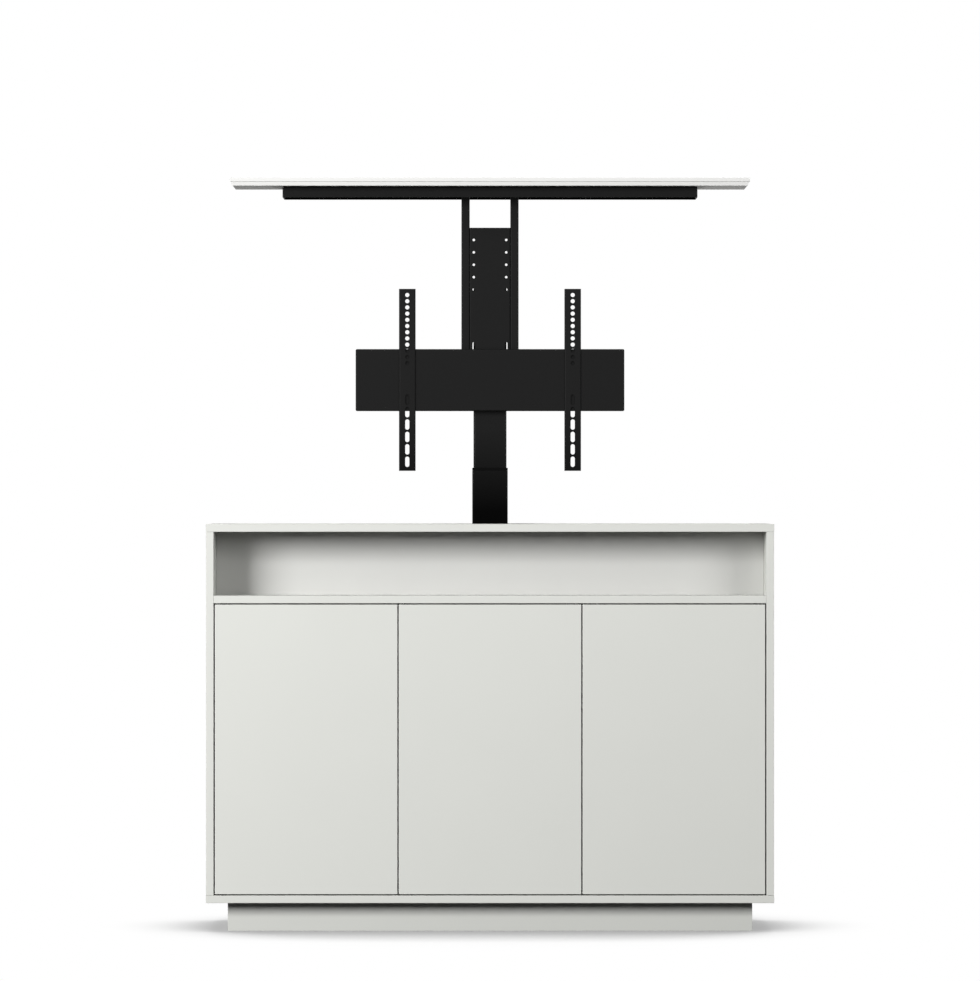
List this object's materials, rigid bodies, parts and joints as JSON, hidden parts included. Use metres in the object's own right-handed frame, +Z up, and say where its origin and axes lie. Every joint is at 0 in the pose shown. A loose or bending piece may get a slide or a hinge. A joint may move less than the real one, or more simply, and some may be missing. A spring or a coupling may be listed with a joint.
{
  "type": "tv lift cabinet",
  "caption": "Lacquered cabinet with an open niche, flush doors and a telescopic lift that raises a screen bracket and a lid out of its top.",
  "frame": {"origin": "on the floor, under the middle of the carcass", "axes": "+X to the cabinet's right as seen from its front, +Y from the front to the back, +Z up"},
  "size_m": [1.35, 0.42, 1.802],
  "materials": {
    "white_lacquer": "sprayed satin white lacquer on fibreboard",
    "black_powder_coat": "fine matt black powder coat on steel",
    "zinc_steel": "zinc plated steel",
    "black_plastic": "moulded black plastic",
    "grey_plastic": "moulded grey plastic"
  },
  "bodies": {
    "cabinet": {"top_panel": "white_lacquer", "side_panel_left": "white_lacquer", "side_panel_right": "white_lacquer", "bottom_panel": "white_lacquer", "niche_shelf": "white_lacquer", "well_board": "white_lacquer", "partition_left": "white_lacquer", "partition_right": "white_lacquer", "back_panel": "white_lacquer", "cable_grommet": "grey_plastic", "plinth_front": "white_lacquer", "plinth_rear": "white_lacquer", "plinth_left": "white_lacquer", "plinth_right": "white_lacquer", "shelf_left": "white_lacquer", "shelf_middle": "white_lacquer", "shelf_right": "white_lacquer", "door_pin_upper_left": "black_powder_coat", "door_pin_upper_middle": "black_powder_coat", "door_pin_upper_right": "black_powder_coat", "door_pin_lower_left": "black_powder_coat", "door_pin_lower_middle": "black_powder_coat", "door_pin_lower_right": "black_powder_coat", "latch_housing_left": "grey_plastic", "latch_housing_middle": "grey_plastic", "latch_housing_right": "grey_plastic", "lift_base_plate": "black_powder_coat", "gearbox_housing": "black_plastic", "drive_motor": "zinc_steel", "tube_clamp": "black_powder_coat", "control_box": "black_plastic", "power_inlet": "black_plastic", "fixed_tube": "black_powder_coat", "fixed_tube_collar": "black_plastic"},
    "door_left": {"door_left": "white_lacquer"},
    "door_middle": {"door_middle": "white_lacquer"},
    "door_right": {"door_right": "white_lacquer"},
    "latch_plunger_left": {"latch_plunger_left": "grey_plastic"},
    "latch_plunger_middle": {"latch_plunger_middle": "grey_plastic"},
    "latch_plunger_right": {"latch_plunger_right": "grey_plastic"},
    "lower_spindle": {"lower_spindle": "zinc_steel"},
    "middle_stage": {"middle_tube": "black_powder_coat", "middle_tube_collar": "black_plastic", "middle_nut": "grey_plastic"},
    "upper_spindle": {"upper_spindle": "zinc_steel"},
    "carriage": {"inner_tube": "black_powder_coat", "inner_nut": "grey_plastic", "column_head": "black_powder_coat", "centre_plate": "black_powder_coat", "lid_rail_left": "black_powder_coat", "lid_rail_right": "black_powder_coat", "crossbar": "black_powder_coat", "lid_beam": "black_powder_coat", "lid_underboard": "white_lacquer", "lid_board": "white_lacquer"},
    "screen_strip_left": {"screen_strip_left": "black_powder_coat"},
    "screen_strip_right": {"screen_strip_right": "black_powder_coat"}
  },
  "joints": [
    {"name": "door_left_hinge", "type": "hinge", "parent": "cabinet", "child": "door_left", "pos_m": [-0.6335, -0.201, 0.435], "axis": [0, 0, -1], "range_deg": [0, 90]},
    {"name": "door_middle_hinge", "type": "hinge", "parent": "cabinet", "child": "door_middle", "pos_m": [-0.19683, -0.201, 0.435], "axis": [0, 0, -1], "range_deg": [0, 90]},
    {"name": "door_right_hinge", "type": "hinge", "parent": "cabinet", "child": "door_right", "pos_m": [0.6335, -0.201, 0.435], "axis": [0, 0, 1], "range_deg": [0, 90]},
    {"name": "latch_left_press", "type": "slide", "parent": "cabinet", "child": "latch_plunger_left", "axis": [0, 1, 0], "range_m": [0, 0.004], "stiffness_N_per_m": 600},
    {"name": "latch_middle_press", "type": "slide", "parent": "cabinet", "child": "latch_plunger_middle", "axis": [0, 1, 0], "range_m": [0, 0.004], "stiffness_N_per_m": 600},
    {"name": "latch_right_press", "type": "slide", "parent": "cabinet", "child": "latch_plunger_right", "axis": [0, 1, 0], "range_m": [0, 0.004], "stiffness_N_per_m": 600},
    {"name": "middle_stage_slide", "type": "slide", "parent": "cabinet", "child": "middle_stage", "axis": [0, 0, 1], "range_m": [-0.416, 0]},
    {"name": "carriage_slide", "type": "slide", "parent": "middle_stage", "child": "carriage", "axis": [0, 0, 1], "range_m": [-0.416, 0]},
    {"name": "lower_spindle_spin", "type": "hinge", "parent": "cabinet", "child": "lower_spindle", "pos_m": [0, 0.0988, 0.3], "axis": [0, 0, 1], "range_deg": [-9400, 0]},
    {"name": "upper_spindle_spin", "type": "hinge", "parent": "middle_stage", "child": "upper_spindle", "pos_m": [0, 0.0988, 0.8], "axis": [0, 0, 1], "range_deg": [-9400, 0]},
    {"name": "screen_strip_left_slide", "type": "slide", "parent": "carriage", "child": "screen_strip_left", "axis": [1, 0, 0], "range_m": [-0.1, 0.1]},
    {"name": "screen_strip_right_slide", "type": "slide", "parent": "carriage", "child": "screen_strip_right", "axis": [1, 0, 0], "range_m": [-0.1, 0.1]}
  ],
  "couplings": [
    {"joint": "carriage_slide", "follows": "middle_stage_slide", "ratio": 1},
    {"joint": "lower_spindle_spin", "follows": "middle_stage_slide", "rad_per_m": 392.7},
    {"joint": "upper_spindle_spin", "follows": "middle_stage_slide", "rad_per_m": 392.7}
  ]
}
